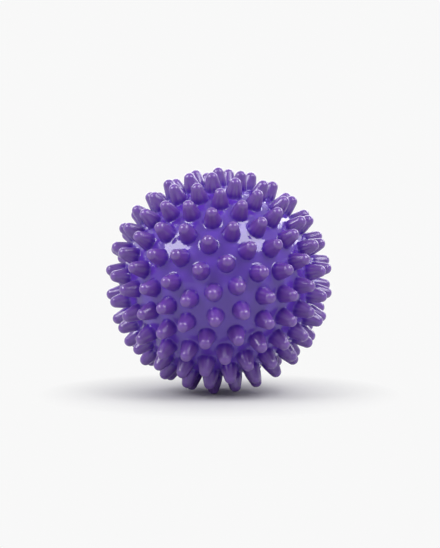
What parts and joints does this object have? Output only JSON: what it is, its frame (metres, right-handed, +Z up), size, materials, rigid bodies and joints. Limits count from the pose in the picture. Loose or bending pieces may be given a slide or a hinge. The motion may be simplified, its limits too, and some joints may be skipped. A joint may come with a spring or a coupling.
{
  "type": "spiky massage ball",
  "caption": "Hollow round massage ball with rounded radial spikes in rings, a bonded parting line and a plugged air valve.",
  "frame": {"origin": "on the surface the ball rests on, under the middle of its box", "axes": "+Z up, with the ball standing on three spike tips; -Y is the side shown in front, and the front pole looks towards -X -Y"},
  "size_m": [0.0892, 0.0896, 0.0893],
  "materials": {
    "pvc_skin": "glossy soft violet PVC, slightly translucent at the tips",
    "weld_bead": "glossy violet PVC weld, slightly uneven",
    "valve_rubber": "satin violet rubber",
    "plug_plastic": "satin violet plastic"
  },
  "bodies": {
    "ball": {"front_shell": "pvc_skin", "rear_shell": "pvc_skin", "seam_bead": "weld_bead", "valve_body": "valve_rubber"},
    "plug": {"valve_plug": "plug_plastic"}
  },
  "joints": [
    {"name": "valve_plug_pull", "type": "slide", "parent": "ball", "child": "plug", "axis": [0.4886, 0.8463, 0.2124], "range_m": [0, 0.012]}
  ]
}
